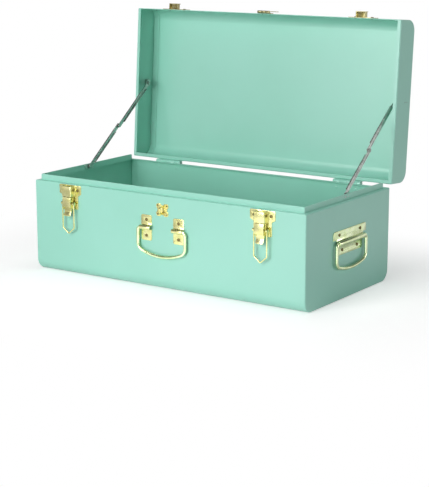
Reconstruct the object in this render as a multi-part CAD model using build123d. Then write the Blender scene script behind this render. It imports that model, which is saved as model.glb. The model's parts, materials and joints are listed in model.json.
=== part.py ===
from build123d import *
from math import asin, atan2, cos, degrees, hypot, pi, radians, sin, sqrt
import os

os.makedirs("parts", exist_ok=True)

# A small sheet-metal trunk with its lid held open by two folding stays.
# Millimetres. +X runs to the right, +Y to the back, +Z up.
# The origin is the middle of the flat bottom that the trunk stands on.
# Heights of the fittings are counted from the ledge that the lid closes on.

# ------------------------------------------------------------------ the box
width = 500.0
depth = 252.0
body_height = 146.0           # bottom to the ledge that the lid closes on
lid_height = 47.8
lid_open_angle = 94.2
lid_seat_gap = 0.3            # between the ledge and the closed lid
sheet = 0.8
wrap_bend = 18.0              # outer radius of the big bends, front to bottom to back
edge_bend = 1.6               # outer radius where a wall turns into its ledge or lip
rim_bend = 1.2
ledge = 7.0
rim_height = 9.0
rim_corner = 2.5
rim_back_gap = 9.5            # from the back of the trunk to the end of each side rim
lid_lip = 6.0
end_ring = 2.6                # width of the pressed edge of an end panel
end_round = 2.0
end_flange = 12.0             # how far an end panel reaches inside the wrap
seam_fit = 0.05
edge_break = 0.3              # corner of a sheet edge that is cut square
small_corner = 0.6
plate_corner = 2.0
least_bend = 0.4
cut_over = 0.008              # how far a cut reaches past the face that it leaves

# ------------------------------------------------------------------ rivets
rivet_shank = 1.4             # radii
rivet_head = 2.4
rivet_head_rise = 1.0
rivet_tail = 2.1
rivet_tail_rise = 0.7
small_rivet_shank = 0.8
small_rivet_head = 1.2
small_rivet_rise = 0.7
rivet_fit = 0.05
head_crown = 0.55             # flat top of a head, as a share of its radius
rivet_sides = 8
pin_fit = 0.05

# ------------------------------------------------------------------ hinges
hinge_inset = 77.0            # middle of a hinge to the end of the trunk
hinge_width = 49.0
hinge_leaf = 1.0
hinge_knuckle = 4.1           # outer radius
hinge_pin = 1.6
hinge_axis_out = 4.3          # pin axis to the back of the trunk
hinge_axis_z = -0.4
hinge_leaf_drop = 17.0        # leaf length, measured from the pin axis
hinge_centre_knuckle = 24.2
hinge_end_gap = 0.3
hinge_turn_gap = 0.3
hinge_rivet_spacing = 35.0
hinge_rivet_drop = 8.6
hinge_corner = 2.0

# ------------------------------------------------------------------ toggle latches
latch_inset = 72.0            # middle of a latch to the end of the trunk
latch_sheet = 1.0
latch_plate_top = -1.0
latch_ear_low = -15.0
latch_waist_top = -18.0
latch_plate_low = -39.5
latch_ear_half = 21.5
latch_waist_half = 15.5
latch_corner = 2.4
bridge_half = 9.15
bridge_top = -2.0
bridge_low = -18.4
bridge_out = 11.2             # front of the bridge to the front of the trunk
bridge_bend = 1.8
latch_rivet_x = 14.6
latch_rivet_z = -9.0
lever_axis_out = 6.5
lever_axis_z = -23.4
lever_half = 7.9
lever_out = 11.0
lever_top = -19.4
lever_step_z = -35.2
lever_step_out = 7.6
lever_tongue_low = -42.4
lever_tongue_half = 6.7
lever_tab_low = -49.4
lever_tab_out = 10.8
lever_tab_bend = 5.0
lever_bend = 1.3
lever_tab_corner = 2.6
cheek_back = 2.6
cheek_shoulder = 2.2
cheek_low_back = -33.5
cheek_low = -40.5
cheek_toe_out = 5.4
cheek_corner = 1.5
lug_radius = 2.6
lug_sheet = 1.0
lug_gap = 0.3
latch_pin = 1.1
latch_pin_head = 1.8
latch_pin_head_rise = 0.7
latch_pin_end_gap = 0.15
bail_axis_z = -29.6
bail_half = 11.0
bail_wire = 1.1
bail_eye_wall = 1.5
bail_eye_half = 1.3
bail_shoulder_z = -68.4
bail_tip_z = -77.8             # where the two slanting sides would meet
bail_bend = 2.5

# ------------------------------------------------------------------ keepers on the lid
keeper_low = 1.2              # lid fittings are drawn with the lid closed
keeper_top = 26.0
keeper_half = 21.0
keeper_sheet = 1.0
keeper_corner = 5.0
keeper_foot_corner = 1.5
keeper_block_low = 2.6
keeper_block_half = 8.5
keeper_block_out = 9.2
keeper_wall = 1.0
keeper_hook_rise = 2.0
keeper_hook_sheet = 1.0
keeper_crest_bend = 1.5
bail_seat_gap = 0.4
keeper_rivet_x = 14.6
keeper_rivet_z = 14.0

# ------------------------------------------------------------------ hasp and staple
hasp_half = 11.0
hasp_axis_z = 4.6
hasp_axis_out = 2.6
hasp_knuckle = 2.2
hasp_pin = 0.9
hasp_leaf_sheet = 1.0
hasp_leaf_length = 13.5
hasp_centre_knuckle = 7.0
hasp_knuckle_gap = 0.3
hasp_flap_lift = 0.4          # flap's near face to the pin axis
hasp_flap_sheet = 1.0
hasp_flap_length = 39.0
hasp_shoulder_length = 7.0
hasp_taper_length = 14.0
hasp_tongue_half = 6.6
hasp_tip_corner = 5.0
hasp_rivet_x = 7.4
hasp_rivet_rise = 8.4
staple_plate_half = 11.0
staple_plate_low = -30.8
staple_plate_top = -11.8
staple_plate_sheet = 0.9
staple_corner = 3.0
staple_notch = 2.2
staple_rivet_x = 8.5
staple_rivet_inset = 2.7
staple_wire = 1.3
staple_bow = 5.0
staple_leg = 3.2
staple_tail = 1.4
slot_side_gap = 0.9
slot_end_gap = 2.0

# ------------------------------------------------------------------ handles
handle_wire = 2.5
wire_play = 0.1
front_bracket_x = 29.8
front_bracket_half = 9.75
front_strap = 1.0
front_strap_top = -31.5
front_strap_low = -71.0
front_handle_z = -50.5
front_handle_out = 3.9
front_handle_half = 43.7
front_handle_drop = 42.7
front_handle_bow = 97.0
front_handle_corner = 12.0
front_wire_end = 21.5
front_rivet_top_z = -39.0
front_rivet_low_z = -63.5
strap_corner = 3.0
handle_bend = 5.0
side_plate_half = 49.3
side_barrel_half = 40.0
side_foot_half = 37.8
side_strap = 1.2
side_strap_top = -40.0
side_strap_low = -77.0
side_handle_z = -58.2
side_handle_out = 4.3
side_handle_half = 44.2
side_handle_drop = 41.5
side_handle_bow = 130.0
side_handle_corner = 11.0
side_wire_end = 20.0
side_rivet_top_x = 31.4
side_rivet_top_z = -46.3
side_rivet_low_x = 22.5
side_rivet_low_z = -70.0
side_corner = 4.0
side_notch_gap = 1.6

# ------------------------------------------------------------------ folding stays
stay_half = 3.5
stay_sheet = 0.8
stay_channel = 2.4            # depth of the channel section, web included
stay_flat_end = 12.0          # pivot to where the channel sides begin
stay_lower_length = 97.0
stay_foot_y = 0.0
stay_foot_z = 4.5
stay_head_y = 0.3             # pivot on the lid, with the lid closed
stay_head_z = 20.0
stay_pin = 1.5
stay_pin_head = 2.7
stay_pin_head_rise = 0.9
foot_plate_half = 11.0
foot_plate_height = 7.6
foot_plate_sheet = 1.0
foot_rivet_y = 7.6
flush_rivet_rise = 0.4
stay_side_gap = 0.3
lower_arm_gap = 0.8           # foot plate to the lower arm, over its rivets
bracket_sheet = 1.0
bracket_half = 5.0
bracket_bend = 1.6
bracket_shelf_rise = 5.6      # from the pivot to the shelf of the lid bracket
bracket_top_rise = 19.0
bracket_rivet_rises = (9.5, 15.5)

# ------------------------------------------------------------------ frames
SECTION = Plane(origin=(0, 0, 0), x_dir=(0, 0, 1), z_dir=(-1, 0, 0))
FRONT = Plane(origin=(0, -depth / 2, body_height), x_dir=(1, 0, 0), z_dir=(0, -1, 0)).location
BACK = Plane(origin=(0, depth / 2, body_height), x_dir=(-1, 0, 0), z_dir=(0, 1, 0)).location
RIGHT_END = Plane(origin=(width / 2, 0, body_height), x_dir=(0, 1, 0), z_dir=(1, 0, 0)).location

lid_low = body_height + lid_seat_gap
lid_top = lid_low + lid_height
latch_x = width / 2 - latch_inset
hinge_x = width / 2 - hinge_inset
hinge_axis = Axis((0, depth / 2 + hinge_axis_out, body_height + hinge_axis_z), (1, 0, 0))


def opened(part):
    """Turn a piece drawn with the lid closed to where the open lid holds it."""
    return part.rotate(hinge_axis, -lid_open_angle)


def opened_point(y, z):
    """Where a point of the closed lid, in side view, lies with the lid open."""
    turn = radians(-lid_open_angle)
    dy = y - hinge_axis.position.Y
    dz = z - hinge_axis.position.Z
    return (hinge_axis.position.Y + dy * cos(turn) - dz * sin(turn),
            hinge_axis.position.Z + dy * sin(turn) + dz * cos(turn))


def mirrored(part):
    """The left-hand twin of a right-hand piece."""
    return mirror(part, about=Plane.YZ)


def closed_outline(points, radii):
    """A face inside a closed polygon with one rounding for each corner."""
    return make_face(FilletPolyline(*points, radius=radii, close=True))


def symmetric_outline(half_points, half_radii):
    """A face that mirrors the corners given for its right half."""
    points = half_points + [(-x, y) for x, y in reversed(half_points)]
    radii = half_radii + list(reversed(half_radii))
    return closed_outline(points, radii)


def bent_sheet(points, radii, thickness):
    """The section of a bent sheet whose middle follows the given corners."""
    return trace(FilletPolyline(*points, radius=radii), thickness)


def through(face, low, high):
    """Extrude a face drawn in the XY plane from one height to another."""
    return extrude(Plane.XY.offset(low) * face, amount=high - low)


def across(face, half):
    """Extrude a side-view face, drawn as (out, up), half each way along the wall."""
    return extrude(SECTION * face, amount=half, both=True)


def across_from(face, near, far):
    """Extrude a side-view face, drawn as (out, up), between two places along the wall."""
    return extrude(SECTION.offset(-far) * face, amount=far - near)


def cross_pin(radius, start, end, out, up):
    """A round bar along the wall at a given height and distance out."""
    return across_from(Pos(out, up) * Circle(radius), start, end)


def crown(radius, start, rise):
    """A rivet head that stands on start and narrows toward its top."""
    foot = Pos(0, 0, start) * RegularPolygon(radius, rivet_sides)
    top = Pos(0, 0, start + rise) * RegularPolygon(radius * head_crown, rivet_sides)
    return loft([foot, top])


def rivet(x, z, grip, shank=rivet_shank, head=rivet_head, rise=rivet_head_rise,
          tail=rivet_tail, tail_rise=rivet_tail_rise, top=0.0):
    """A rivet at (x, z) of a wall, its head on a layer whose face is at top."""
    low = top - grip
    part = through(RegularPolygon(shank, rivet_sides), low, top)
    part += crown(head, top, rise)
    part += crown(tail, low, -tail_rise)
    return Pos(x, z, 0) * part


def rivet_hole(x, z, shank=rivet_shank, reach=6.0):
    """The hole for a rivet's shank."""
    return Pos(x, z, 0) * through(RegularPolygon(shank + rivet_fit, rivet_sides), -reach, reach)


def bent_wire(path, radius):
    """A round wire along lines and arcs that run smoothly into each other."""
    runs = []
    for edge in path.edges():
        section = Plane(edge @ 0, z_dir=edge % 0) * Circle(radius)
        if edge.geom_type == GeomType.LINE:
            runs.append(extrude(section, amount=edge.length))
        else:
            turn = (edge @ 0 - edge.arc_center).cross(edge % 0)
            runs.append(revolve(section, Axis(edge.arc_center, turn), degrees(edge.length / edge.radius)))
    return runs[0].fuse(*runs[1:])


# ------------------------------------------------------------------ sheet shells
def wrap_sheet(height, lip, rim):
    """Front, bottom and back bent from one sheet, the opening upward.

    The back edge turns inward. With a rim, the front edge turns inward and up; without, it is plain.
    """
    front = -depth / 2
    back = depth / 2
    skin = sheet / 2
    top = height - skin
    lip_front = front + lip + skin
    points = [(front + skin, skin), (back - skin, skin), (back - skin, top), (back - lip, top)]
    radii = [wrap_bend - skin, wrap_bend - skin, edge_bend - skin]
    if rim:
        points = [(lip_front, height + rim), (lip_front, top), (front + skin, top)] + points
        radii = [rim_bend - skin, edge_bend - skin] + radii
    else:
        points = [(front + skin, height)] + points
    section = bent_sheet(points, radii, sheet)
    half = width / 2 - end_ring
    part = extrude(Plane.YZ * section, amount=half, both=True)
    if rim:
        spare = half - (width / 2 - lip)
        for side in (1, -1):
            corner = Box(2 * spare, 2 * sheet + rim_bend * 2, 2 * rim)
            place = Pos(side * (width / 2 - lip + spare), lip_front, height + rim + cut_over)
            part -= place * corner
        tops = part.edges().filter_by(Axis.Y).group_by(Axis.Z)[-1]
        part = fillet(tops, rim_corner)
    return part


def end_outline(height, margin, top_margin):
    """The side view of a shell, drawn in from its edge."""
    low = margin
    high = height - top_margin
    half = depth / 2 - margin
    bend = wrap_bend - margin
    top_bend = max(edge_bend - margin, least_bend)
    return symmetric_outline([(half, high), (half, low)], [top_bend, bend])


def end_sheet(height, lip, rim):
    """One end: a pressed pan whose flange goes inside the wrap, for the right side.

    Its top edge turns inward as a ledge. With a rim, the ledge turns up again; without, it runs to
    the plain front edge.
    """
    pan = extrude(Plane.YZ.offset(width / 2 - end_ring) * end_outline(height, 0, 0), amount=end_ring)
    outer_edges = pan.edges().group_by(Axis.X)[-1]
    pan = fillet(outer_edges, end_round)
    hollow = end_outline(height, sheet, sheet)
    pan -= extrude(Plane.YZ.offset(width / 2 - end_ring) * hollow, amount=end_ring - sheet)
    flange_out = sheet + seam_fit
    flange_in = flange_out + sheet
    flange_top = sheet + seam_fit
    flange_face = end_outline(height, flange_out, flange_top) - end_outline(height, flange_in, -sheet)
    flange = extrude(Plane.YZ.offset(width / 2 - end_flange) * flange_face, amount=end_flange - end_ring)
    step_face = end_outline(height, sheet / 2, sheet / 2) - end_outline(height, flange_in, flange_in)
    step = extrude(Plane.YZ.offset(width / 2 - end_ring) * step_face, amount=sheet)
    part = pan + flange + step
    shelf_front = -depth / 2 + (lip + sheet if rim else flange_out)
    shelf_back = depth / 2 - lip
    shelf_reach = lip + (sheet if rim else 0) - end_ring + sheet
    shelf = Box(shelf_reach, shelf_back - shelf_front, sheet)
    shelf_x = width / 2 - end_ring + sheet - shelf_reach / 2
    part += Pos(shelf_x, (shelf_front + shelf_back) / 2, height - sheet / 2) * shelf
    if rim:
        rim_back = depth / 2 - rim_back_gap
        upright = Box(sheet, rim_back - shelf_front, rim + sheet)
        place = Pos(width / 2 - lip - sheet / 2, (shelf_front + rim_back) / 2, height + (rim - sheet) / 2)
        part += place * upright
        corners = part.edges().filter_by(Axis.X).group_by(Axis.Z)[-1].sort_by(Axis.Y)
        part = fillet(corners[-1], rim_corner)
    return part


def lid_place(part):
    """Turn a shell drawn with its opening upward into the closed lid."""
    return Pos(0, 0, lid_top) * mirror(part, about=Plane.XY)


# ------------------------------------------------------------------ hinges
def hinge_half(sign, knuckle_spans):
    """One leaf with its knuckles. The leaf runs up (1) or down (-1) from the pin."""
    reach = sqrt((hinge_knuckle + hinge_turn_gap) ** 2 - (hinge_axis_out - hinge_leaf) ** 2)
    near = hinge_axis_z + sign * reach
    far = hinge_axis_z + sign * hinge_leaf_drop
    low = min(near, far)
    high = max(near, far)
    radii = [hinge_corner, edge_break] if sign > 0 else [edge_break, hinge_corner]
    leaf = through(symmetric_outline([(hinge_width / 2, high), (hinge_width / 2, low)], radii), 0, hinge_leaf)
    for start, end in knuckle_spans:
        root = Box(end - start, abs(near - hinge_axis_z) + edge_break, hinge_leaf)
        leaf += Pos((start + end) / 2, (near + sign * edge_break + hinge_axis_z) / 2, hinge_leaf / 2) * root
        leaf += cross_pin(hinge_knuckle, start, end, hinge_axis_out, hinge_axis_z)
    leaf -= cross_pin(hinge_pin + pin_fit, -hinge_width, hinge_width, hinge_axis_out, hinge_axis_z)
    for x, z in hinge_rivet_places(sign):
        leaf -= rivet_hole(x, z)
    return leaf


def hinge_rivet_places(sign):
    """Rivets of one leaf, seen from the back, about the middle of the hinge."""
    z = hinge_axis_z + sign * hinge_rivet_drop
    return [(-hinge_rivet_spacing / 2, z), (hinge_rivet_spacing / 2, z)]


def hinge_body_leaf():
    edge = hinge_width / 2
    inner = hinge_centre_knuckle / 2 + hinge_end_gap
    return BACK * Pos(-hinge_x, 0, 0) * hinge_half(-1, [(-edge, -inner), (inner, edge)])


def hinge_lid_leaf():
    inner = hinge_centre_knuckle / 2
    return BACK * Pos(-hinge_x, 0, 0) * hinge_half(1, [(-inner, inner)])


def hinge_pin_bar():
    half = hinge_width / 2
    return BACK * Pos(-hinge_x, 0, 0) * cross_pin(hinge_pin, -half, half, hinge_axis_out, hinge_axis_z)


def hinge_rivets(sign):
    """Rivets of both right-hand and left-hand leaves on one side of the pins."""
    group = []
    for x, z in hinge_rivet_places(sign):
        one = BACK * Pos(-hinge_x, 0, 0) * rivet(x, z, hinge_leaf + sheet, top=hinge_leaf)
        group += [one, mirrored(one)]
    return group


# ------------------------------------------------------------------ toggle latches
def latch_plate():
    """Riveted plate with its pressed bridge and the two lugs that hold the lever."""
    outline = symmetric_outline(
        [(latch_ear_half, latch_plate_top), (latch_ear_half, latch_ear_low),
         (latch_waist_half, latch_waist_top), (latch_waist_half, latch_plate_low)],
        [latch_corner, latch_corner, latch_corner, latch_corner])
    plate = through(outline, 0, latch_sheet)
    middle = (bridge_top + bridge_low) / 2
    bridge = Pos(0, middle, bridge_out / 2) * Box(2 * bridge_half, bridge_top - bridge_low, bridge_out)
    bridge = fillet(bridge.edges().filter_by(Axis.Y).group_by(Axis.Z)[-1], bridge_bend)
    hollow_half = bridge_half - latch_sheet
    hollow_out = bridge_out - latch_sheet
    hollow = Pos(0, middle, hollow_out / 2) * Box(2 * hollow_half, 2 * (bridge_top - bridge_low), hollow_out)
    bridge -= hollow
    part = plate + bridge
    lug_outer = lever_half - latch_sheet - lug_gap
    lug_face = Pos(lever_axis_out, lever_axis_z) * Circle(lug_radius)
    lug_face += Pos(lever_axis_out / 2, lever_axis_z) * Rectangle(lever_axis_out, 2 * lug_radius)
    part += across_from(lug_face, lug_outer - lug_sheet, lug_outer)
    part += across_from(lug_face, -lug_outer, -lug_outer + lug_sheet)
    part -= cross_pin(latch_pin + pin_fit, -bridge_half, bridge_half, lever_axis_out, lever_axis_z)
    for x in (-latch_rivet_x, latch_rivet_x):
        part -= rivet_hole(x, latch_rivet_z)
    return part


def headed_pin(half, out, up):
    """A cross pin whose two heads sit just outside half on each side."""
    end = half + latch_pin_end_gap
    pin = cross_pin(latch_pin, -end, end, out, up)
    pin += cross_pin(latch_pin_head, end, end + latch_pin_head_rise, out, up)
    pin += cross_pin(latch_pin_head, -end - latch_pin_head_rise, -end, out, up)
    return pin


def latch_lever():
    """Channel-shaped lever: front plate, stepped tongue with its finger tab, two cheeks."""
    skin = latch_sheet / 2
    path = [(lever_out - skin, lever_top), (lever_out - skin, lever_step_z),
            (lever_step_out - skin, lever_step_z),
            (lever_step_out - skin, lever_tongue_low), (lever_tab_out - skin, lever_tab_low)]
    face = bent_sheet(path, [lever_bend, lever_bend, lever_tab_bend], latch_sheet)
    blade = across(face, lever_half)
    spare = lever_half - lever_tongue_half
    trim_top = lever_step_z - lever_bend
    trim_low = lever_tab_low - latch_sheet
    for side in (1, -1):
        strip = Box(2 * spare, trim_top - trim_low, 4 * lever_out)
        blade -= Pos(side * lever_half, (trim_top + trim_low) / 2, 0) * strip
    short = blade.edges().filter_by(lambda edge: edge.length < 2 * latch_sheet)
    blade = fillet(short.sort_by(Axis.Y)[:2], lever_tab_corner)
    inside = lever_out - latch_sheet / 2
    cheek_face = closed_outline(
        [(inside, lever_top), (cheek_back + cheek_shoulder, lever_top),
         (cheek_back, lever_top - cheek_shoulder), (cheek_back, cheek_low_back),
         (cheek_toe_out, cheek_low), (lever_step_out - latch_sheet / 2, cheek_low),
         (inside, lever_step_z + latch_sheet)],
        [edge_break, cheek_corner, cheek_corner, cheek_corner, small_corner, edge_break, edge_break])
    cheek_in = lever_half - latch_sheet
    cheeks = across_from(cheek_face, cheek_in, lever_half) + across_from(cheek_face, -lever_half, -cheek_in)
    part = blade + cheeks
    part -= cross_pin(latch_pin + pin_fit, -bridge_half, bridge_half, lever_axis_out, lever_axis_z)
    part -= cross_pin(latch_pin + pin_fit, -bridge_half, bridge_half, lever_axis_out, bail_axis_z)
    return part


def latch_bail():
    """Wire bail with a gabled end, hanging from an eye on each side of the lever."""
    eye = latch_pin + pin_fit + bail_eye_wall
    leg_top = bail_axis_z - latch_pin - pin_fit - bail_eye_wall / 2
    path = FilletPolyline(
        (-bail_half, leg_top, lever_axis_out), (-bail_half, bail_shoulder_z, lever_axis_out),
        (0, bail_tip_z, lever_axis_out), (bail_half, bail_shoulder_z, lever_axis_out),
        (bail_half, leg_top, lever_axis_out), radius=[bail_bend, bail_bend, bail_bend])
    part = bent_wire(path, bail_wire)
    for middle in (-bail_half, bail_half):
        part += cross_pin(eye, middle - bail_eye_half, middle + bail_eye_half, lever_axis_out, bail_axis_z)
    part -= cross_pin(latch_pin + pin_fit, -2 * bail_half, 2 * bail_half, lever_axis_out, bail_axis_z)
    return part


def at_latch(part):
    return FRONT * Pos(latch_x, 0, 0) * part


# ------------------------------------------------------------------ keepers
def gable(half, low, clearance):
    """A house-shaped face that fits inside the raised bail with a clearance all round."""
    shoulder = 2 * bail_axis_z - bail_shoulder_z
    tip = 2 * bail_axis_z - bail_tip_z
    slope = atan2(tip - shoulder, bail_half)
    crest = tip - (bail_wire + clearance) / cos(slope)
    eave = crest - half * (tip - shoulder) / bail_half
    points = [(half, low), (half, eave), (0, crest), (-half, eave), (-half, low)]
    return closed_outline(points, [edge_break, small_corner, keeper_crest_bend, small_corner, edge_break])


def keeper():
    """Lid plate with a hollow gabled block whose front edge stands up as a hook."""
    outline = symmetric_outline(
        [(keeper_half, keeper_top), (keeper_half, keeper_low)], [keeper_corner, keeper_foot_corner])
    part = through(outline, 0, keeper_sheet)
    block = gable(keeper_block_half, keeper_block_low, bail_seat_gap)
    part += through(block, keeper_sheet / 2, keeper_block_out)
    hollow_half = keeper_block_half - keeper_wall
    hollow = gable(hollow_half, keeper_block_low - keeper_wall, bail_seat_gap + keeper_wall)
    part -= through(hollow, keeper_sheet, keeper_block_out)
    hook = gable(keeper_block_half, keeper_block_low, bail_seat_gap - keeper_hook_rise)
    part += through(hook, keeper_block_out, keeper_block_out + keeper_hook_sheet)
    for x in (-keeper_rivet_x, keeper_rivet_x):
        part -= rivet_hole(x, keeper_rivet_z)
    return part


# ------------------------------------------------------------------ hasp and staple
def hasp_leaf():
    """Short leaf riveted to the lid, with the middle knuckle."""
    reach = sqrt((hasp_knuckle + hasp_knuckle_gap) ** 2 - (hasp_axis_out - hasp_leaf_sheet) ** 2)
    low = hasp_axis_z + reach
    high = hasp_axis_z + hasp_leaf_length
    outline = symmetric_outline([(hasp_half, high), (hasp_half, low)], [plate_corner, edge_break])
    part = through(outline, 0, hasp_leaf_sheet)
    half = hasp_centre_knuckle / 2
    root = Box(2 * half, low - hasp_axis_z, hasp_leaf_sheet)
    part += Pos(0, (hasp_axis_z + low) / 2, hasp_leaf_sheet / 2) * root
    part += cross_pin(hasp_knuckle, -half, half, hasp_axis_out, hasp_axis_z)
    part -= cross_pin(hasp_pin + pin_fit, -hasp_half, hasp_half, hasp_axis_out, hasp_axis_z)
    for x in (-hasp_rivet_x, hasp_rivet_x):
        part -= rivet_hole(x, hasp_axis_z + hasp_rivet_rise, small_rivet_shank)
    return part


def hasp_flap():
    """Swinging flap, drawn folded back over its leaf, with its slot for the staple."""
    low = hasp_axis_z
    top = hasp_axis_z + hasp_flap_length
    outline = symmetric_outline(
        [(hasp_tongue_half, top), (hasp_tongue_half, low + hasp_taper_length),
         (hasp_half, low + hasp_shoulder_length), (hasp_half, low)],
        [hasp_tip_corner, plate_corner, plate_corner, edge_break])
    near = hasp_axis_out + hasp_flap_lift
    part = through(outline, near, near + hasp_flap_sheet)
    inner = hasp_centre_knuckle / 2 + hasp_knuckle_gap
    notch = hasp_knuckle + hasp_knuckle_gap
    part -= Pos(0, hasp_axis_z, near) * Box(2 * inner, 2 * notch, 4 * hasp_flap_sheet)
    part += cross_pin(hasp_knuckle, inner, hasp_half, hasp_axis_out, hasp_axis_z)
    part += cross_pin(hasp_knuckle, -hasp_half, -inner, hasp_axis_out, hasp_axis_z)
    part -= cross_pin(hasp_pin + pin_fit, -2 * hasp_half, 2 * hasp_half, hasp_axis_out, hasp_axis_z)
    staple_z = (staple_plate_low + staple_plate_top) / 2
    slot_z = 2 * hasp_axis_z - staple_z
    slot_half = staple_bow + staple_wire + slot_end_gap
    slot = Pos(0, slot_z) * Rot(0, 0, 90) * SlotOverall(2 * slot_half, 2 * (staple_wire + slot_side_gap))
    part -= through(slot, 0, near + 2 * hasp_flap_sheet)
    return part


def staple_plate():
    """Small square plate with waisted sides under the staple."""
    middle = (staple_plate_low + staple_plate_top) / 2
    part = through(symmetric_outline(
        [(staple_plate_half, staple_plate_top), (staple_plate_half, staple_plate_low)],
        [staple_corner, staple_corner]), 0, staple_plate_sheet)
    notches = [(staple_plate_half + staple_notch, middle), (-staple_plate_half - staple_notch, middle),
               (0, staple_plate_top + staple_notch), (0, staple_plate_low - staple_notch)]
    for x, z in notches:
        part -= Pos(x, z, 0) * Cylinder(2 * staple_notch, 4 * staple_plate_sheet)
    for x, z in staple_rivet_places():
        part -= rivet_hole(x, z, small_rivet_shank)
    for z in (middle - staple_bow, middle + staple_bow):
        part -= staple_hole(z)
    return part


def staple_hole(z):
    """The hole for one leg of the staple."""
    return Pos(0, z, 0) * Cylinder(staple_wire + rivet_fit, 2 * staple_leg)


def staple_rivet_places():
    """The four corners of the staple plate."""
    return [(side * staple_rivet_x, z) for side in (-1, 1)
            for z in (staple_plate_low + staple_rivet_inset, staple_plate_top - staple_rivet_inset)]


def staple_loop():
    """Bent wire staple whose legs pass through the plate and the trunk's front."""
    middle = (staple_plate_low + staple_plate_top) / 2
    tail = -sheet - staple_tail
    start = Vector(0, middle - staple_bow, tail)
    bend = Vector(0, middle - staple_bow, staple_leg)
    crest = Vector(0, middle, staple_leg + staple_bow)
    back = Vector(0, middle + staple_bow, staple_leg)
    end = Vector(0, middle + staple_bow, tail)
    path = Wire([Line(start, bend), ThreePointArc(bend, crest, back), Line(back, end)])
    return bent_wire(path, staple_wire)


# ------------------------------------------------------------------ handles
def strap_section(wire_out, wire_z, thickness, top, low):
    """Side view of a strap that lies on the wall and arches over a handle's wire."""
    bore = handle_wire + wire_play
    arch = bore + thickness
    outer = Pos(wire_out, wire_z) * Circle(arch)
    outer += Pos(wire_out / 2, wire_z) * Rectangle(wire_out, 2 * arch)
    outer += Pos(thickness / 2, (top + low) / 2) * Rectangle(thickness, top - low)
    inner = Pos(wire_out, wire_z) * Circle(bore)
    inner += Pos(wire_out / 2, wire_z) * Rectangle(wire_out, 2 * bore)
    return outer - inner


def front_bracket():
    """Strap over one end of the front handle."""
    strap = across(strap_section(front_handle_out, front_handle_z, front_strap,
                                 front_strap_top, front_strap_low), front_bracket_half)
    corners = [edge for edge in strap.edges().filter_by(Axis.Z) if edge.length < 2 * front_strap]
    part = fillet(corners, strap_corner)
    for z in (front_rivet_top_z, front_rivet_low_z):
        part -= rivet_hole(0, z)
    return part


def handle_path(half, drop, bow, corner, bend, end, out, up):
    """Centre line of a hanging handle: ends turned inward, two legs and a bowed grip."""
    bow_z = up - drop + bow
    reach = half - corner
    corner_z = bow_z - sqrt((bow - corner) ** 2 - reach ** 2)
    lean = asin(reach / (bow - corner))
    corner_turn = (pi / 2 - lean) / 2
    right = [
        (end, up), (half - bend, up), (half - bend + bend * cos(pi / 4), up - bend + bend * sin(pi / 4)),
        (half, up - bend), (half, corner_z),
        (reach + corner * cos(corner_turn), corner_z - corner * sin(corner_turn)),
        (bow * sin(lean), bow_z - bow * cos(lean))]
    a, b, c, d, e, f, g = [Vector(x, z, out) for x, z in right]
    p, q, r, s, t, u, v = [Vector(-x, z, out) for x, z in reversed(right)]
    lowest = Vector(0, up - drop, out)
    return Wire([Line(a, b), ThreePointArc(b, c, d), Line(d, e), ThreePointArc(e, f, g),
                 ThreePointArc(g, lowest, p), ThreePointArc(p, q, r), Line(r, s),
                 ThreePointArc(s, t, u), Line(u, v)])


def handle(half, drop, bow, corner, end, out, up):
    """A round wire handle."""
    return bent_wire(handle_path(half, drop, bow, corner, handle_bend, end, out, up), handle_wire)


def front_handle():
    return FRONT * handle(front_handle_half, front_handle_drop, front_handle_bow,
                          front_handle_corner, front_wire_end, front_handle_out, front_handle_z)


def side_handle():
    return RIGHT_END * handle(side_handle_half, side_handle_drop, side_handle_bow,
                              side_handle_corner, side_wire_end, side_handle_out, side_handle_z)


def side_handle_plate():
    """Long plate with a barrel for the side handle and a shorter foot below it."""
    section = strap_section(side_handle_out, side_handle_z, side_strap, side_strap_top, side_strap_low)
    part = across(section, side_plate_half)
    arch = handle_wire + wire_play + side_strap
    deep = 4 * side_handle_out
    notch_top = side_handle_z + arch + side_notch_gap
    barrel_low = side_handle_z - arch
    for side in (1, -1):
        spare = side_plate_half - side_barrel_half
        cut = Box(2 * spare, notch_top - side_strap_low + 2 * side_strap, deep)
        part -= Pos(side * side_plate_half, (notch_top + side_strap_low) / 2 - side_strap, 0) * cut
        spare = side_plate_half - side_foot_half
        cut = Box(2 * spare, barrel_low - side_strap_low + 2 * side_strap, deep)
        part -= Pos(side * side_plate_half, (barrel_low + side_strap_low) / 2 - side_strap, 0) * cut
    short = [edge for edge in part.edges().filter_by(Axis.Z) if edge.length < 2 * side_strap]
    outer = [edge for edge in short if edge.center().Y > notch_top + side_strap
             or edge.center().Y < side_strap_low + side_strap]
    part = fillet(outer, side_corner)
    for x, z in side_rivet_places():
        part -= rivet_hole(x, z)
    return part


def side_rivet_places():
    """Two rivets above the barrel and two below it."""
    return [(-side_rivet_top_x, side_rivet_top_z), (side_rivet_top_x, side_rivet_top_z),
            (-side_rivet_low_x, side_rivet_low_z), (side_rivet_low_x, side_rivet_low_z)]


# ------------------------------------------------------------------ folding stays
# Distances in from the outer face of an end panel, one layer inside the next.
rim_inner = ledge + sheet
foot_plate_in = rim_inner + foot_plate_sheet
lower_web_out = foot_plate_in + lower_arm_gap
lower_web_in = lower_web_out + stay_sheet
lower_arm_in = lower_web_out + stay_channel
upper_web_out = lower_arm_in + 2 * stay_side_gap
upper_web_in = upper_web_out + stay_sheet
upper_arm_in = upper_web_out + stay_channel
ear_in = upper_web_out - stay_side_gap
ear_out = ear_in - bracket_sheet

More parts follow.
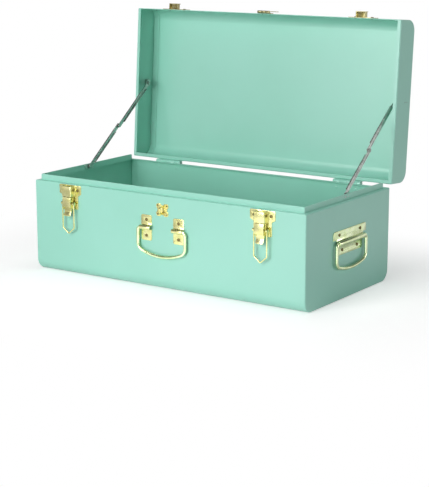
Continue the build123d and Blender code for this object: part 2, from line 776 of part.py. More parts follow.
foot_pivot = (stay_foot_y, body_height + stay_foot_z)
closed_head_pivot = (stay_head_y, body_height + stay_head_z)
head_pivot = opened_point(*closed_head_pivot)
stay_length = hypot(head_pivot[0] - foot_pivot[0], head_pivot[1] - foot_pivot[1])
stay_upper_length = stay_length - stay_lower_length
stay_angle = atan2(head_pivot[1] - foot_pivot[1], head_pivot[0] - foot_pivot[0])
elbow_pivot = (foot_pivot[0] + stay_lower_length * cos(stay_angle),
               foot_pivot[1] + stay_lower_length * sin(stay_angle))


def layer(face, outer, inner):
    """Extrude a side-view face between two distances in from the right end."""
    return extrude(Plane.YZ.offset(width / 2 - inner) * face, amount=inner - outer)


def disc(centre, radius, outer, inner):
    """A round bar along X between two distances in from the right end."""
    return layer(Pos(*centre) * Circle(radius), outer, inner)


def stud(centre, radius, outer, inner):
    """A rivet's shank or head along X, or the hole for it."""
    return layer(Pos(*centre) * RegularPolygon(radius, rivet_sides), outer, inner)


def stay_arm(start, end, outer):
    """A channel arm with flat round ends, its open side toward the middle of the trunk."""
    length = hypot(end[0] - start[0], end[1] - start[1])
    lean = degrees(atan2(end[1] - start[1], end[0] - start[0]))
    place = Pos((start[0] + end[0]) / 2, (start[1] + end[1]) / 2) * Rot(0, 0, lean)
    part = layer(place * SlotCenterToCenter(length, 2 * stay_half), outer, outer + stay_sheet)
    side_length = length - 2 * stay_flat_end
    for side in (1, -1):
        side_face = Pos(0, side * (stay_half - stay_sheet / 2)) * Rectangle(side_length, stay_sheet)
        part += layer(place * side_face, outer + stay_sheet / 2, outer + stay_channel)
    for centre in (start, end):
        part -= disc(centre, stay_pin + pin_fit, outer - stay_sheet, outer + 2 * stay_sheet)
    return part


def stay_foot_plate():
    """Plate on the inside of the end rim that carries the lower arm."""
    middle = body_height + rim_height / 2
    face = Pos(stay_foot_y, middle) * RectangleRounded(2 * foot_plate_half, foot_plate_height, plate_corner)
    part = layer(face, rim_inner, foot_plate_in)
    for y in (-foot_rivet_y, foot_rivet_y):
        part -= stud((stay_foot_y + y, middle), small_rivet_shank + rivet_fit, rim_inner, foot_plate_in)
    part -= disc(foot_pivot, stay_pin + pin_fit, rim_inner, foot_plate_in)
    return part


def stay_foot_pin():
    """Headed pivot of the lower arm, flush with the outside of the rim."""
    pin = disc(foot_pivot, stay_pin, ledge, lower_web_in + stay_side_gap)
    head_from = lower_web_in + stay_side_gap
    pin += disc(foot_pivot, stay_pin_head, head_from, head_from + stay_pin_head_rise)
    return pin


def stay_foot_rivet(y):
    """Low-headed rivet of the foot plate."""
    centre = (stay_foot_y + y, body_height + rim_height / 2)
    part = stud(centre, small_rivet_shank, ledge, foot_plate_in)
    return part + stud(centre, small_rivet_head, foot_plate_in, foot_plate_in + flush_rivet_rise)


def stay_elbow_lower():
    """The lower arm's half of the elbow rivet: outer head, shank and spacer."""
    middle = upper_web_out - stay_side_gap
    part = disc(elbow_pivot, stay_pin_head, lower_web_out - stay_side_gap / 2 - stay_pin_head_rise / 2,
                lower_web_out)
    part += disc(elbow_pivot, stay_pin, lower_web_out, lower_web_in)
    return part + disc(elbow_pivot, stay_pin_head - stay_side_gap, lower_web_in, middle)


def stay_elbow_upper():
    """The upper arm's half of the elbow rivet: shank and inner head."""
    start = upper_web_out - stay_side_gap / 2
    part = disc(elbow_pivot, stay_pin, start, upper_web_in)
    return part + disc(elbow_pivot, stay_pin_head, upper_web_in, upper_web_in + stay_pin_head_rise)


def stay_lid_bracket():
    """Bracket on the inside of the lid's end, bent inward to an ear; lid closed."""
    y, z = closed_head_pivot
    shelf_z = z + bracket_shelf_rise
    base = sheet + bracket_sheet / 2
    ear = ear_in - bracket_sheet / 2
    path = [(base, z + bracket_top_rise), (base, shelf_z), (ear, shelf_z), (ear, z)]
    section = bent_sheet(path, [bracket_bend, bracket_bend], bracket_sheet)
    strip = Plane(origin=(width / 2, y, 0), x_dir=(-1, 0, 0), z_dir=(0, 1, 0))
    part = extrude(strip * section, amount=bracket_half, both=True)
    part += disc(closed_head_pivot, bracket_half, ear_out, ear_in)
    part -= disc(closed_head_pivot, stay_pin + pin_fit, ear_out - bracket_sheet, ear_in + bracket_sheet)
    for rise in bracket_rivet_rises:
        part -= stud((y, z + rise), small_rivet_shank + rivet_fit, 0, sheet + 2 * bracket_sheet)
    return part


def stay_lid_rivet(rise):
    """Flush rivet through the lid's end."""
    centre = (closed_head_pivot[0], closed_head_pivot[1] + rise)
    part = stud(centre, small_rivet_shank, 0, sheet + bracket_sheet)
    seat = sheet + bracket_sheet
    return part + stud(centre, small_rivet_head, seat, seat + small_rivet_rise)


def stay_lid_pin():
    """Headed pivot of the upper arm in the ear of the lid bracket."""
    back = ear_out - stay_pin_head_rise
    part = disc(closed_head_pivot, stay_pin_head, back, ear_out)
    part += disc(closed_head_pivot, stay_pin, ear_out, upper_web_in + stay_side_gap)
    front = upper_web_in + stay_side_gap
    return part + disc(closed_head_pivot, stay_pin_head, front, front + stay_pin_head_rise)


# ------------------------------------------------------------------ drilled shells
def drill_front(part):
    """Holes in the trunk's front and back for rivets and the staple."""
    cuts = []
    for side in (1, -1):
        for x in (-latch_rivet_x, latch_rivet_x):
            cuts.append(FRONT * rivet_hole(side * latch_x + x, latch_rivet_z))
        for z in (front_rivet_top_z, front_rivet_low_z):
            cuts.append(FRONT * rivet_hole(side * front_bracket_x, z))
        for x, z in hinge_rivet_places(-1):
            cuts.append(BACK * rivet_hole(side * hinge_x + x, z))
    for x, z in staple_rivet_places():
        cuts.append(FRONT * rivet_hole(x, z, small_rivet_shank))
    middle = (staple_plate_low + staple_plate_top) / 2
    for z in (middle - staple_bow, middle + staple_bow):
        cuts.append(FRONT * staple_hole(z))
    return part - cuts


def drill_end(part):
    """Holes in the right end panel for its handle plate and the stay's foot."""
    cuts = [RIGHT_END * rivet_hole(x, z) for x, z in side_rivet_places()]
    middle = body_height + rim_height / 2
    for y in (-foot_rivet_y, foot_rivet_y):
        hole = small_rivet_shank + rivet_fit
        cuts.append(stud((stay_foot_y + y, middle), hole, ledge - sheet, foot_plate_in))
    cuts.append(disc(foot_pivot, stay_pin + pin_fit, ledge - sheet, foot_plate_in))
    return part - cuts


def drill_lid(part):
    """Holes in the lid's front and back, with the lid closed."""
    cuts = []
    for side in (1, -1):
        for x in (-keeper_rivet_x, keeper_rivet_x):
            cuts.append(FRONT * rivet_hole(side * latch_x + x, keeper_rivet_z))
        for x, z in hinge_rivet_places(1):
            cuts.append(BACK * rivet_hole(side * hinge_x + x, z))
        cuts.append(FRONT * rivet_hole(side * hasp_rivet_x, hasp_axis_z + hasp_rivet_rise, small_rivet_shank))
    return part - cuts


def drill_lid_end(part):
    """Holes in the lid's right end for the stay bracket, with the lid closed."""
    y, z = closed_head_pivot
    return part - [stud((y, z + rise), small_rivet_shank + rivet_fit, -sheet, 2 * sheet)
                   for rise in bracket_rivet_rises]


# ------------------------------------------------------------------ the pieces
pieces = {}


def pair(name, right):
    """Keep a right-hand piece and its left-hand twin; name has {} for the side."""
    pieces[name.format("right")] = right
    pieces[name.format("left")] = mirrored(right)


pieces["body_wrap"] = drill_front(wrap_sheet(body_height, ledge, rim_height))
pair("{}_end_panel", drill_end(end_sheet(body_height, ledge, rim_height)))
pieces["lid_wrap"] = opened(drill_lid(lid_place(wrap_sheet(lid_height, lid_lip, 0))))
pair("lid_{}_end", opened(drill_lid_end(lid_place(end_sheet(lid_height, lid_lip, 0)))))

pair("{}_hinge_body_leaf", hinge_body_leaf())
pair("{}_hinge_lid_leaf", opened(hinge_lid_leaf()))
pieces["hinge_pins"] = [hinge_pin_bar(), mirrored(hinge_pin_bar())]
pieces["hinge_body_rivets"] = hinge_rivets(-1)
pieces["hinge_lid_rivets"] = [opened(one) for one in hinge_rivets(1)]

pair("{}_latch_plate", at_latch(latch_plate()))
lever_pin = at_latch(headed_pin(lever_half, lever_axis_out, lever_axis_z))
pieces["latch_lever_pins"] = [lever_pin, mirrored(lever_pin)]
pair("{}_latch_lever", at_latch(latch_lever()))
pair("{}_bail_pin", at_latch(headed_pin(bail_half + bail_eye_half, lever_axis_out, bail_axis_z)))
pair("{}_latch_bail", at_latch(latch_bail()))
pieces["latch_plate_rivets"] = [
    FRONT * rivet(side * latch_x + x, latch_rivet_z, latch_sheet + sheet, top=latch_sheet)
    for side in (1, -1) for x in (-latch_rivet_x, latch_rivet_x)]
pair("{}_keeper", opened(at_latch(keeper())))
pieces["keeper_rivets"] = [
    opened(FRONT * rivet(side * latch_x + x, keeper_rivet_z, keeper_sheet + sheet, top=keeper_sheet))
    for side in (1, -1) for x in (-keeper_rivet_x, keeper_rivet_x)]

pieces["hasp_leaf"] = opened(FRONT * hasp_leaf())
pieces["hasp_flap"] = opened(FRONT * hasp_flap())
pieces["hasp_pin"] = opened(FRONT * cross_pin(hasp_pin, -hasp_half, hasp_half, hasp_axis_out, hasp_axis_z))
small = {"shank": small_rivet_shank, "head": small_rivet_head, "rise": small_rivet_rise,
         "tail": small_rivet_head, "tail_rise": small_rivet_rise}
pieces["hasp_leaf_rivets"] = [
    opened(FRONT * rivet(x, hasp_axis_z + hasp_rivet_rise, hasp_leaf_sheet + sheet,
                         top=hasp_leaf_sheet, **small))
    for x in (-hasp_rivet_x, hasp_rivet_x)]
pieces["staple_plate"] = FRONT * staple_plate()
pieces["hasp_staple"] = FRONT * staple_loop()
pieces["staple_plate_rivets"] = [
    FRONT * rivet(x, z, staple_plate_sheet + sheet, top=staple_plate_sheet, **small)
    for x, z in staple_rivet_places()]

pieces["front_handle"] = front_handle()
pieces["front_handle_right_bracket"] = FRONT * Pos(front_bracket_x, 0, 0) * front_bracket()
pieces["front_handle_left_bracket"] = mirrored(pieces["front_handle_right_bracket"])
pieces["front_handle_rivets"] = [
    FRONT * rivet(side * front_bracket_x, z, front_strap + sheet, top=front_strap)
    for side in (1, -1) for z in (front_rivet_top_z, front_rivet_low_z)]
pair("{}_side_handle", side_handle())
pair("{}_side_handle_plate", RIGHT_END * side_handle_plate())
side_rivets = [RIGHT_END * rivet(x, z, side_strap + sheet, top=side_strap) for x, z in side_rivet_places()]
pieces["side_handle_rivets"] = side_rivets + [mirrored(one) for one in side_rivets]

pair("{}_stay_lower_arm", stay_arm(foot_pivot, elbow_pivot, lower_web_out))
pair("{}_stay_upper_arm", stay_arm(elbow_pivot, head_pivot, upper_web_out))
pair("{}_stay_elbow_rivet", stay_elbow_lower())
pair("{}_stay_elbow_cap", stay_elbow_upper())
pair("{}_stay_foot_plate", stay_foot_plate())
pair("{}_stay_lid_bracket", opened(stay_lid_bracket()))
foot_pins = [stay_foot_pin()]
foot_rivets = [stay_foot_rivet(y) for y in (-foot_rivet_y, foot_rivet_y)]
lid_pins = [opened(stay_lid_pin())]
lid_rivets = [opened(stay_lid_rivet(rise)) for rise in bracket_rivet_rises]
pieces["stay_foot_pins"] = foot_pins + [mirrored(one) for one in foot_pins]
pieces["stay_foot_rivets"] = foot_rivets + [mirrored(one) for one in foot_rivets]
pieces["stay_lid_pins"] = lid_pins + [mirrored(one) for one in lid_pins]
pieces["stay_lid_rivets"] = lid_rivets + [mirrored(one) for one in lid_rivets]

for name, piece in pieces.items():
    solids = piece if isinstance(piece, list) else [piece]
    group = Compound(children=[solid for one in solids for solid in one.solids()])
    export_step(group, f"parts/{name}.step")
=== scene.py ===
import json
import math

import bpy
from mathutils import Matrix, Vector


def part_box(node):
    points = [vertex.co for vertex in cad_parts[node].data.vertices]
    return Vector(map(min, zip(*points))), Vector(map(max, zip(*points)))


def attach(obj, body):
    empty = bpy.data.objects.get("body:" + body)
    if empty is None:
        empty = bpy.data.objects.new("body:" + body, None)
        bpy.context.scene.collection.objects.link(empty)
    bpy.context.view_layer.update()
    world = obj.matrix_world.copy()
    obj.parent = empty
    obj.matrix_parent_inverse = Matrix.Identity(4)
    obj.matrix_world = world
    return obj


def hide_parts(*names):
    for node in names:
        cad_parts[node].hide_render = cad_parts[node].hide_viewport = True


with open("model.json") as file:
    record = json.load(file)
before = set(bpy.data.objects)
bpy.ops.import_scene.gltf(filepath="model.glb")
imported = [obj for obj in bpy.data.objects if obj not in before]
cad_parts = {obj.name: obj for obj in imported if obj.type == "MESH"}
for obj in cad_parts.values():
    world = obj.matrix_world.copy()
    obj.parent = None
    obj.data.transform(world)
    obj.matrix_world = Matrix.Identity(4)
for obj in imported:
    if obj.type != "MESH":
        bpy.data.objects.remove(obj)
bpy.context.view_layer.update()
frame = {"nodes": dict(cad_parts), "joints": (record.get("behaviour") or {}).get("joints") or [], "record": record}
nodes = frame["nodes"]
bpy.ops.object.select_all(action="DESELECT")


# ---------------------------------------------------------------- the view
# A long lens from the front right, a little above the open trunk, as a
# catalogue picture is taken.
view_turn = math.radians(34.18)
view_height = math.radians(12.71)
view_roll = math.radians(0.05)
view_distance = 2.3097
view_middle = Vector((0.0166, -0.0110, 0.0538))
lens_mm = 108.92
film_mm = 36.0
farthest_seen = 60.0

toward_camera = Vector((math.sin(view_turn) * math.cos(view_height),
                        -math.cos(view_turn) * math.cos(view_height),
                        math.sin(view_height)))
bpy.ops.object.camera_add(location=view_middle + view_distance * toward_camera,
                          rotation=(math.pi / 2 - view_height, view_roll, view_turn))
camera = bpy.context.object
camera.data.lens = lens_mm
camera.data.sensor_width = film_mm
camera.data.clip_end = farthest_seen
bpy.context.scene.camera = camera


# ---------------------------------------------------------------- the studio floor
# A wide sheet of white paper under and behind the trunk. It shows the shadow
# near the trunk and is lost in white further off. Lit cards lie on it where
# only the metal and the gloss of the paint mirror them.
class Tone:
    """A socket of a material. Python's signs on it add Math nodes; add makes any other node."""

    def __init__(self, tree, socket=None):
        self.tree = tree
        self.socket = socket

    def add(self, kind, inputs=(), output=0, **settings):
        node = self.tree.nodes.new(kind)
        for name, value in settings.items():
            setattr(node, name, value)
        for name, value in dict(inputs).items():
            if isinstance(value, Tone):
                self.tree.links.new(value.socket, node.inputs[name])
            else:
                node.inputs[name].default_value = value
        return Tone(self.tree, node.outputs[output])

    def math(self, operation, first, second=0.0):
        return self.add("ShaderNodeMath", {0: first, 1: second}, operation=operation)

    def smooth(self, low, high):
        """0 below low, 1 above high and a soft step between them."""
        inputs = {"Value": self, "From Min": low, "From Max": high}
        return self.add("ShaderNodeMapRange", inputs, interpolation_type="SMOOTHSTEP")

    def mix(self, first, second):
        """The colour that this socket picks between two."""
        inputs = {0: self, 6: first, 7: second}
        return self.add("ShaderNodeMix", inputs, output=2, data_type="RGBA")

    def shade(self, first, second):
        """The shader that this socket picks between two."""
        return self.add("ShaderNodeMixShader", {0: self, 1: first, 2: second})

    def surface(self, kind="ShaderNodeOutputMaterial"):
        self.tree.links.new(self.socket, self.tree.nodes.new(kind).inputs["Surface"])

    def __add__(self, other):
        return self.math("ADD", self, other)

    def __radd__(self, other):
        return self.math("ADD", other, self)

    def __sub__(self, other):
        return self.math("SUBTRACT", self, other)

    def __rsub__(self, other):
        return self.math("SUBTRACT", other, self)

    def __mul__(self, other):
        return self.math("MULTIPLY", self, other)

    def __rmul__(self, other):
        return self.math("MULTIPLY", other, self)


def new_material(name):
    """An empty material, ready for its nodes."""
    material = bpy.data.materials.new(name)
    material.use_nodes = True
    material.node_tree.nodes.clear()
    return material, Tone(material.node_tree)


def is_ray(tone, kind):
    """1 for the kind of ray that is named, 0 for every other."""
    return tone.add("ShaderNodeLightPath", output=kind)


def lit_white(tone, strength):
    return tone.add("ShaderNodeEmission", {"Color": (1, 1, 1, 1), "Strength": strength})


floor_size = 40.0
floor_drop = 0.0002
floor_tone = 0.86
floor_glow = 0.42
shadow_reach = (0.03, 0.34)
mirrored_reach = (0.4, 1.6)
mirrored_far_white = 0.6
front_card_across = (-0.46, 0.02)
front_card_along = (-0.25, 0.0)
end_card_across = (0.20, 0.45)
end_card_along = (0.05, 0.30)
end_card_strength = 0.5
half_width, half_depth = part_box("right_end_panel")[1][:2]

bpy.ops.mesh.primitive_plane_add(size=floor_size, location=(0, 0, -floor_drop))
floor = bpy.context.object
floor.name = "floor"
floor_paper, tone = new_material("floor_paper")
place = tone.add("ShaderNodeTexCoord", output="Object")
across, along = [tone.add("ShaderNodeSeparateXYZ", {0: place}, output=index) for index in (0, 1)]
beside = tone.math("MAXIMUM", tone.math("ABSOLUTE", across) - half_width, 0.0)
before = tone.math("MAXIMUM", tone.math("ABSOLUTE", along) - half_depth, 0.0)
away = tone.math("SQRT", beside * beside + before * before)

paper = tone.add("ShaderNodeBsdfDiffuse", {"Color": (floor_tone, floor_tone, floor_tone, 1)})
shadowed = tone.add("ShaderNodeAddShader", {0: paper, 1: lit_white(tone, floor_glow)})
seen = away.smooth(*shadow_reach).shade(shadowed, lit_white(tone, 1.0))

front_card = across.smooth(*front_card_across) * (1.0 - along.smooth(*front_card_along))
end_card = across.smooth(*end_card_across) * along.smooth(*end_card_along)
cards = lit_white(tone, front_card + end_card * end_card_strength)
near = tone.add("ShaderNodeAddShader", {0: paper, 1: cards})
mirrored = away.smooth(*mirrored_reach).shade(near, lit_white(tone, mirrored_far_white))

lit = is_ray(tone, "Is Glossy Ray").shade(paper, mirrored)
is_ray(tone, "Is Camera Ray").shade(lit, seen).surface()
floor.data.materials.append(floor_paper)


# ---------------------------------------------------------------- the studio light
# The room is white to the eye. For the trunk it is a dim even light, with a
# darker ceiling that gives the metal something to mirror. Three soft boxes
# light the front, the right end and the top.
room_light = 0.12
ceiling_shade = 0.85
ceiling_reach = (0.05, 0.55)

world = bpy.data.worlds.new("studio")
bpy.context.scene.world = world
world.use_nodes = True
world.node_tree.nodes.clear()
tone = Tone(world.node_tree)
way = tone.add("ShaderNodeTexCoord", output="Generated")
height = tone.add("ShaderNodeSeparateXYZ", {0: way}, output=2)
mirrored_room = 1.0 - ceiling_shade * height.smooth(*ceiling_reach)
strength = room_light + is_ray(tone, "Is Glossy Ray") * (mirrored_room - room_light)
strength = strength + is_ray(tone, "Is Camera Ray") * (1.0 - strength)
room = tone.add("ShaderNodeBackground", {"Color": (1, 1, 1, 1), "Strength": strength})
room.surface("ShaderNodeOutputWorld")


def soft_box(name, place, aim, size, power):
    """A square lamp that faces a point."""
    turn = (Vector(place) - Vector(aim)).to_track_quat("Z", "Y").to_euler()
    bpy.ops.object.light_add(type="AREA", location=place, rotation=turn)
    lamp = bpy.context.object
    lamp.name = name
    lamp.data.size = size
    lamp.data.energy = power
    lamp.select_set(False)


soft_box("key_lamp", place=(-0.22, -2.1, 0.85), aim=(0, 0, 0.12), size=1.3, power=36)
soft_box("end_lamp", place=(2.6, 1.0, 0.5), aim=(0, 0, 0.15), size=1.2, power=14)
soft_box("top_lamp", place=(0.0, 0.2, 2.8), aim=(0, 0, 0.15), size=2.0, power=20)


# ---------------------------------------------------------------- painted shell
# Front, bottom and back are bent from one thin steel sheet, with a pressed
# pan for each end; the lid is made the same way. All of it is sprayed in a
# satin mint enamel with a faint orange peel and a few specks of dust.
def screen(red, green, blue):
    """A colour written as on a screen, 0 to 255, in linear values."""
    values = [value / 255 for value in (red, green, blue)]
    values = [value / 12.92 if value <= 0.04045 else ((value + 0.055) / 1.055) ** 2.4
              for value in values]
    return (*values, 1.0)


def mint_enamel():
    """Two close mint tones that drift over the sheet, specks, fine peel and slow waves."""
    cool_mint = screen(151, 216, 197)
    warm_mint = screen(155, 219, 201)
    dusty_mint = screen(128, 190, 172)
    material, tone = new_material("mint_enamel")
    place = tone.add("ShaderNodeTexCoord", output="Object")
    drift = tone.add("ShaderNodeTexNoise", {"Vector": place, "Scale": 6.0, "Detail": 3.0})
    peel = tone.add("ShaderNodeTexNoise", {"Vector": place, "Scale": 380.0, "Detail": 2.0})
    dust = tone.add("ShaderNodeTexNoise", {"Vector": place, "Scale": 1400.0, "Detail": 1.0})
    waves = tone.add("ShaderNodeTexNoise", {"Vector": place, "Scale": 9.0, "Detail": 1.0})
    specks = dust.smooth(0.70, 0.78)
    color = drift.smooth(0.35, 0.65).mix(cool_mint, warm_mint)
    color = (specks * 0.35).mix(color, dusty_mint)
    roughness = 0.30 + drift * 0.08 + specks * 0.1
    wavy = tone.add("ShaderNodeBump", {"Height": waves, "Strength": 0.10, "Distance": 0.004})
    peeled = tone.add("ShaderNodeBump", {
        "Height": peel, "Strength": 0.05, "Distance": 0.0004, "Normal": wavy})
    tone.add("ShaderNodeBsdfPrincipled", {
        "Base Color": color, "Roughness": roughness, "Normal": peeled, "IOR": 1.8}).surface()
    return material


def finish_node(name, material):
    """Give a CAD piece its finish."""
    for slot in nodes[name].material_slots:
        slot.material = material


mint = mint_enamel()
for name in ("body_wrap", "left_end_panel", "right_end_panel",
             "lid_wrap", "lid_left_end", "lid_right_end"):
    finish_node(name, mint)


# ---------------------------------------------------------------- butt hinges
# Two leaves and a pin at each end of the back, stamped from sheet steel with
# their cut edges tumbled round. They are riveted on before the trunk is
# sprayed, so they wear the same enamel.
hinge_edge = 0.0002
cut_edge_angle = 36
sheet_smooth_angle = 34
body_of_node = {node: body for body, members in frame["record"]["behaviour"]["bodies"].items()
                for node in members}


def merged_copy(name):
    """A copy of a CAD piece with its loose triangles joined into flat faces."""
    weld = 0.000002
    still_flat = math.radians(1.5)
    source = nodes[name]
    piece = source.copy()
    piece.data = source.data.copy()
    piece.parent = None
    piece.name = name + "_finished"
    for label in list(piece.keys()):
        del piece[label]
    bpy.context.scene.collection.objects.link(piece)
    bpy.context.view_layer.objects.active = piece
    piece.select_set(True)
    bpy.ops.object.mode_set(mode="EDIT")
    bpy.ops.mesh.select_all(action="SELECT")
    bpy.ops.mesh.remove_doubles(threshold=weld)
    bpy.ops.mesh.dissolve_limited(angle_limit=still_flat)
    bpy.ops.object.mode_set(mode="OBJECT")
    return piece


def stand_for(piece, name, smooth_angle, material):
    """Shade and finish a piece, and let it stand for the CAD piece of that name."""
    bpy.ops.object.shade_smooth_by_angle(angle=math.radians(smooth_angle))
    piece.data.materials.clear()
    piece.data.materials.append(material)
    piece.select_set(False)
    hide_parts(name)
    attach(piece, body_of_node[name])


def soften(name, edge, material):
    """Break the cut edges of a CAD piece round, in a copy that stands for it."""
    piece = merged_copy(name)
    bevel = piece.modifiers.new("edge", "BEVEL")
    bevel.width = edge
    bevel.segments = 2
    bevel.limit_method = "ANGLE"
    bevel.angle_limit = math.radians(cut_edge_angle)
    bpy.ops.object.modifier_apply(modifier=bevel.name)
    stand_for(piece, name, sheet_smooth_angle, material)


for side in ("left", "right"):
    for leaf in ("hinge_body_leaf", "hinge_lid_leaf"):
        soften(f"{side}_{leaf}", hinge_edge, mint)
finish_node("hinge_pins", mint)


# ---------------------------------------------------------------- rivets
# Tubular rivets of bronzed steel, each with a domed head on the outside and
# its end rolled over inside the sheet. The hinges' rivets are sprayed with
# the trunk, the others go in after it; their dark brown is partly painted shade.
usual_rivet = {"head": 0.0024, "head_rise": 0.0010, "tail": 0.0021, "tail_rise": 0.0007}
small_rivet = {"head": 0.0012, "head_rise": 0.0007, "tail": 0.0012, "tail_rise": 0.0007}
shank_share = 0.58
rivet_sides = 20
dome_steps = 4
dome_rim = 0.22
dome_turn = math.pi / 2 * 0.86
rivet_smooth_angle = 50


def bronzed_steel():
    """Dark brown steel, cloudy and slightly pitted by the bronzing; the dark brown is partly painted shade round
    the domed heads.
    """
    dark_bronze = screen(88, 78, 46)
    light_bronze = screen(124, 112, 72)
    material, tone = new_material("bronzed_steel")
    place = tone.add("ShaderNodeTexCoord", output="Object")
    cloud = tone.add("ShaderNodeTexNoise", {"Vector": place, "Scale": 420.0, "Detail": 3.0})
    color = cloud.smooth(0.35, 0.65).mix(dark_bronze, light_bronze)
    roughness = 0.28 + cloud * 0.16
    pitted = tone.add("ShaderNodeBump", {"Height": cloud, "Strength": 0.2, "Distance": 0.0003})
    tone.add("ShaderNodeBsdfPrincipled", {
        "Base Color": color, "Metallic": 1.0, "Roughness": roughness, "Normal": pitted}).surface()
    return material


def grow_dome(way, start, radius, rise):
    """Draw a round face out into a low dome; way is 1 for up and -1 for down."""
    height = start + way * dome_rim * rise
    width = radius
    bpy.ops.mesh.extrude_region_move(TRANSFORM_OT_translate={"value": (0, 0, height - start)})
    for step in range(1, dome_steps + 1):
        lean = dome_turn * step / dome_steps
        next_width = radius * math.cos(lean)
        share = dome_rim + (1 - dome_rim) * math.sin(lean) / math.sin(dome_turn)
        next_height = start + way * rise * share
        bpy.ops.mesh.extrude_region_move(
            TRANSFORM_OT_translate={"value": (0, 0, next_height - height)})
        shrink = next_width / width
        bpy.ops.transform.resize(value=(shrink, shrink, 1), center_override=(0, 0, next_height))
        height = next_height
        width = next_width


def select_cap(piece, height):
    """Select the flat round face at a height, and nothing else."""
    bpy.ops.object.mode_set(mode="EDIT")
    bpy.ops.mesh.select_mode(type="FACE")
    bpy.ops.mesh.select_all(action="DESELECT")
    bpy.ops.object.mode_set(mode="OBJECT")
    for face in piece.data.polygons:
        face.select = all(abs(piece.data.vertices[corner].co.z - height) < 1e-6
                          for corner in face.vertices)
    bpy.ops.object.mode_set(mode="EDIT")


def model_rivet(name, size, grip):
    """One rivet along Z: its head upward on height 0, its tail under the sheets it grips."""
    shank = shank_share * size["head"]
    bpy.ops.mesh.primitive_cylinder_add(vertices=rivet_sides, radius=shank, depth=grip,
                                        end_fill_type="NGON", location=(0, 0, -grip / 2))
    piece = bpy.context.object
    piece.name = name
    bpy.ops.object.transform_apply(location=True, rotation=True, scale=True)
    for way, height, end in ((1, 0.0, "head"), (-1, -grip, "tail")):
        select_cap(piece, height)
        bpy.ops.mesh.extrude_region_move(TRANSFORM_OT_translate={"value": (0, 0, 0)})
        grown = size[end] / shank
        bpy.ops.transform.resize(value=(grown, grown, 1), center_override=(0, 0, height))
        grow_dome(way, height, size[end], size[end + "_rise"])
        bpy.ops.object.mode_set(mode="OBJECT")
    piece.select_set(False)
    return piece


def corners_of_each(name):
    """The corner points of each separate rivet of a CAD piece."""
    merged_copy(name)
    bpy.ops.object.mode_set(mode="EDIT")
    bpy.ops.mesh.select_all(action="SELECT")
    bpy.ops.mesh.separate(type="LOOSE")
    bpy.ops.object.mode_set(mode="OBJECT")
    loose = list(bpy.context.selected_objects)
    corners = [[vertex.co.copy() for vertex in one.data.vertices] for one in loose]
    for one in loose:
        bpy.data.objects.remove(one)
    return corners


def set_rivets(name, out_of_head, size, material):
    """Set a domed rivet in the place of each one of a CAD piece."""
    axis = Vector(out_of_head).normalized()
    turn = axis.to_track_quat("Z", "Y").to_matrix()
    first = None
    group = []
    for corners in corners_of_each(name):
        local = [turn.transposed() @ corner for corner in corners]
        low = Vector([min(corner[i] for corner in local) for i in range(3)])
        high = Vector([max(corner[i] for corner in local) for i in range(3)])
        if first is None:
            grip = high.z - low.z - size["head_rise"] - size["tail_rise"]
            first = model_rivet(name + "_first", size, grip)
        one = first.copy()
        one.data = first.data.copy()
        bpy.context.scene.collection.objects.link(one)
        at_left_end = abs(axis.x) > 0.5 and low.z + high.z < 0
        seat = low.z + size["head_rise"] if at_left_end else high.z - size["head_rise"]
        flip = Matrix.Rotation(math.pi, 3, "X") if at_left_end else Matrix.Identity(3)
        middle = turn @ Vector(((low.x + high.x) / 2, (low.y + high.y) / 2, seat))
        one.data.transform(Matrix.Translation(middle) @ (turn @ flip).to_4x4())
        group.append(one)
    bpy.data.objects.remove(first)
    for one in group:
        one.select_set(True)
    bpy.context.view_layer.objects.active = group[0]
    bpy.ops.object.join()
    piece = bpy.context.object
    piece.name = name + "_domed"
    stand_for(piece, name, rivet_smooth_angle, material)


# The dark brown is partly painted shade, for the dark rims of the heads and the dark they mirror.
rivet_bronze_and_painted_shade = bronzed_steel()
lid_travel = {joint["name"]: joint["range_deg"][1] for joint in frame["joints"]}["lid_hinge"]
opened = Matrix.Rotation(math.radians(-lid_travel), 3, "X")
front = Vector((0, -1, 0))
back = Vector((0, 1, 0))
set_rivets("hinge_body_rivets", back, usual_rivet, mint)
set_rivets("hinge_lid_rivets", opened @ back, usual_rivet, mint)
set_rivets("latch_plate_rivets", front, usual_rivet, rivet_bronze_and_painted_shade)
set_rivets("keeper_rivets", opened @ front, usual_rivet, rivet_bronze_and_painted_shade)
set_rivets("front_handle_rivets", front, usual_rivet, rivet_bronze_and_painted_shade)
set_rivets("side_handle_rivets", (1, 0, 0), usual_rivet, rivet_bronze_and_painted_shade)
set_rivets("hasp_leaf_rivets", opened @ front, small_rivet, rivet_bronze_and_painted_shade)
set_rivets("staple_plate_rivets", front, small_rivet, rivet_bronze_and_painted_shade)


# ---------------------------------------------------------------- toggle latches
# A plate with a pressed bridge carries a channel-shaped lever on a cross pin;
# the lever pulls a wire bail over the keeper on the lid. All brass plated; the
# keepers are a darker copy of the brass, painted shade for the open lid's top.
latch_edge = 0.00025


def brass_plate(name, low, high, shine, grain=(1.0, 1.0, 1.0)):
    """Bright brass plate, a little cloudy, with the fine drawn lines of rolled sheet."""
    material, tone = new_material(name)
    place = tone.add("ShaderNodeTexCoord", output="Object")
    cloud = tone.add("ShaderNodeTexNoise", {"Vector": place, "Scale": 80.0, "Detail": 3.0})
    drawn = tone.add("ShaderNodeMapping", {"Vector": place, "Scale": grain})
    lines = tone.add("ShaderNodeTexNoise", {"Vector": drawn, "Scale": 1100.0, "Detail": 2.0})
    color = cloud.smooth(0.3, 0.7).mix(low, high)
    color = (lines.smooth(0.45, 0.75) * 0.35).mix(color, low)
    roughness = shine + cloud * 0.10 + lines * 0.06
    rolled = tone.add("ShaderNodeBump", {"Height": lines, "Strength": 0.10, "Distance": 0.0002})
    uneven = tone.add("ShaderNodeBump", {
        "Height": cloud, "Strength": 0.16, "Distance": 0.0008, "Normal": rolled})
    tone.add("ShaderNodeBsdfPrincipled", {
        "Base Color": color, "Metallic": 1.0, "Roughness": roughness, "Normal": uneven}).surface()
    return material


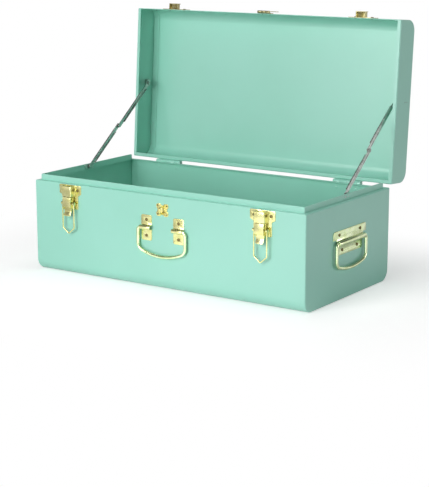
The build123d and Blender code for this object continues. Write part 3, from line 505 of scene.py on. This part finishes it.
upright_lines = (1.0, 1.0, 0.12)
brass = brass_plate("pale_brass", screen(212, 208, 140), screen(230, 228, 170), 0.15, upright_lines)
# A darker copy of the same brass: painted shade for the keepers and hasp on the open lid.
dull_brass = brass_plate("dull_brass", screen(150, 142, 100), screen(186, 178, 134), 0.20)
for side in ("left", "right"):
    soften(f"{side}_latch_plate", latch_edge, brass)
    soften(f"{side}_latch_lever", latch_edge, brass)
    soften(f"{side}_keeper", latch_edge, dull_brass)
    finish_node(f"{side}_latch_bail", brass)
    finish_node(f"{side}_bail_pin", brass)
finish_node("latch_lever_pins", brass)


# ---------------------------------------------------------------- hasp and staple
# A short leaf on the lid's front edge holds the slotted flap, which drops over
# a wire staple. The leaf and flap take the keepers' darker brass, painted shade
# for the open lid's top; the staple and its plate are a warmer, yellower one.
hasp_edge = 0.0002
flap_edge = 0.00025
gold = brass_plate("yellow_brass", screen(214, 204, 124), screen(236, 228, 160), 0.18)
soften("hasp_leaf", hasp_edge, dull_brass)
soften("hasp_flap", flap_edge, dull_brass)
finish_node("hasp_pin", dull_brass)
soften("staple_plate", hasp_edge, gold)
finish_node("hasp_staple", gold)


# ---------------------------------------------------------------- front handle
# A drop handle of bright brass wire under two straps that are riveted to the
# front.
strap_edge = 0.00025
# This brass is tinted green: a painted reflection of the mint paint that the wire mirrors.
wire_brass = brass_plate("wire_brass", screen(212, 226, 172), screen(232, 244, 204), 0.12)
finish_node("front_handle", wire_brass)
for side in ("left", "right"):
    soften(f"front_handle_{side}_bracket", strap_edge, brass)


# ---------------------------------------------------------------- end handles
# A wire handle on each end turns in the barrel of a long plate, held by two
# rivets above it and two below.
end_plate_edge = 0.0003
# The end plates and wires take the same green-tinted brass; the green is a painted reflection of the mint ends.
for side in ("left", "right"):
    soften(f"{side}_side_handle_plate", end_plate_edge, wire_brass)
    finish_node(f"{side}_side_handle", wire_brass)


# ---------------------------------------------------------------- folding stays
# Two channel arms of zinc-plated steel hold the lid open on each side, riveted
# together at the elbow, to a foot plate on the rim and to a bracket in the lid.
stay_edge = 0.00018


def zinc_steel():
    """Grey zinc plate, cloudy, with a fine spangle."""
    dark_zinc = screen(158, 164, 160)
    light_zinc = screen(196, 202, 196)
    material, tone = new_material("zinc_steel")
    place = tone.add("ShaderNodeTexCoord", output="Object")
    cloud = tone.add("ShaderNodeTexNoise", {"Vector": place, "Scale": 130.0, "Detail": 4.0})
    spangle = tone.add("ShaderNodeTexVoronoi", {"Vector": place, "Scale": 700.0})
    color = cloud.smooth(0.3, 0.7).mix(dark_zinc, light_zinc)
    roughness = 0.16 + cloud * 0.12
    grainy = tone.add("ShaderNodeBump", {"Height": spangle, "Strength": 0.12, "Distance": 0.0003})
    tone.add("ShaderNodeBsdfPrincipled", {
        "Base Color": color, "Metallic": 1.0, "Roughness": roughness, "Normal": grainy}).surface()
    return material


zinc = zinc_steel()
for side in ("left", "right"):
    for part in ("stay_foot_plate", "stay_lid_bracket", "stay_lower_arm", "stay_upper_arm"):
        soften(f"{side}_{part}", stay_edge, zinc)
    finish_node(f"{side}_stay_elbow_rivet", zinc)
    finish_node(f"{side}_stay_elbow_cap", zinc)
for name in ("stay_foot_pins", "stay_foot_rivets", "stay_lid_pins", "stay_lid_rivets"):
    finish_node(name, zinc)


# ---------------------------------------------------------------- the picture
# The view stays plain.
bpy.context.scene.view_settings.view_transform = "Standard"
